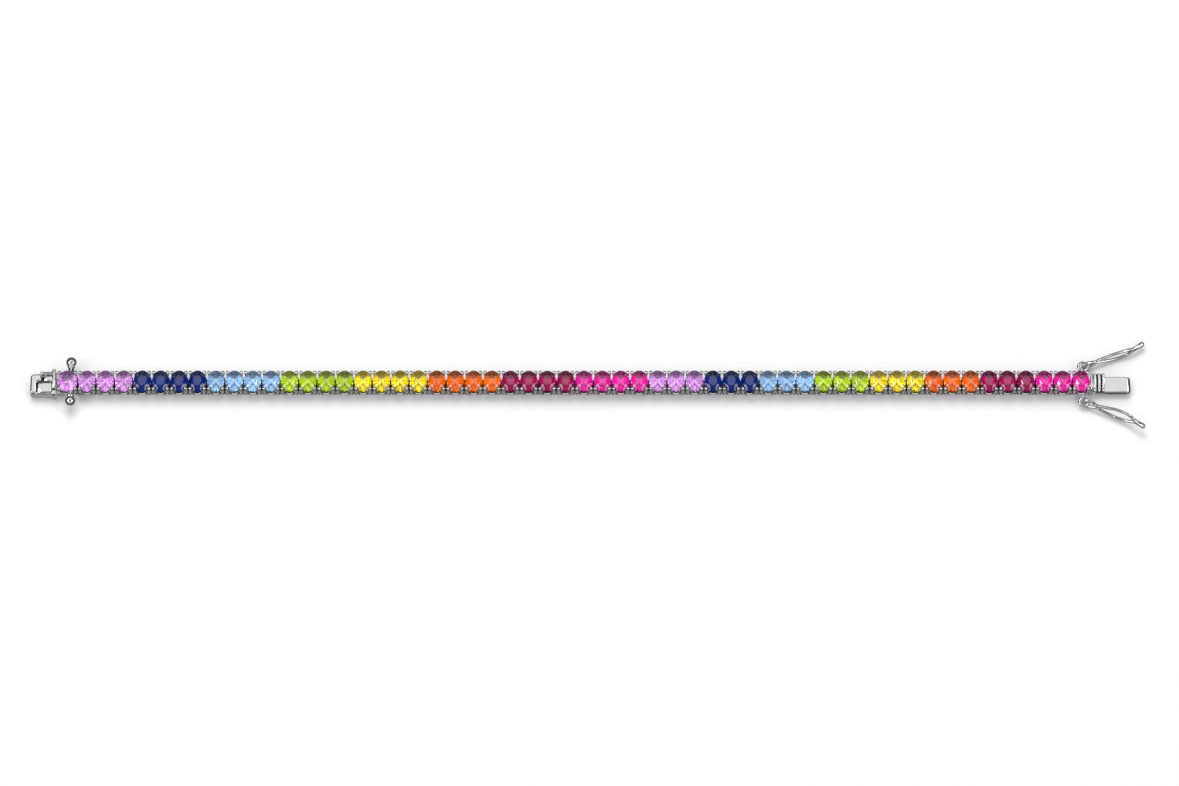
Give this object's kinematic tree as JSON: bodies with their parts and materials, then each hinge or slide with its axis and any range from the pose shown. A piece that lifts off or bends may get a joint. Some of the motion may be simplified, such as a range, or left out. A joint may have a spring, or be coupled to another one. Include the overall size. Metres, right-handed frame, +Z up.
{
  "type": "tennis bracelet",
  "caption": "Open tennis bracelet of oval stones in four-claw settings, in a rainbow of colours, with a box clasp, a spring tongue and two figure-eight safety arms",
  "frame": {"origin": "middle of the bracelet's footprint, on the surface that it lies on", "axes": "+X along the bracelet from the box clasp to the tongue, +Y to the back as seen in the picture, +Z up"},
  "size_m": [0.1942, 0.0168, 0.0032],
  "materials": {
    "silver": "polished rhodium-plated silver",
    "lavender_stone": "clear cut stone",
    "magenta_stone": "clear cut stone"
  },
  "bodies": {
    "bracelet": {"box_clasp": "silver", "box_stone": "lavender_stone", "stone_links_long": "silver", "stone_links_short": "silver", "tongue_clasp": "silver", "tongue_stone": "magenta_stone"},
    "arm_back": {"safety_arm_back": "silver"},
    "arm_front": {"safety_arm_front": "silver"}
  },
  "joints": [
    {"name": "arm_back_pivot", "type": "hinge", "parent": "bracelet", "child": "arm_back", "pos_m": [0.08598, 0.00368, 0.00105], "axis": [0, 0, 1], "range_deg": [-15, 50]},
    {"name": "arm_front_pivot", "type": "hinge", "parent": "bracelet", "child": "arm_front", "pos_m": [0.08598, -0.00292, 0.00105], "axis": [0, 0, 1], "range_deg": [-50, 20]}
  ]
}
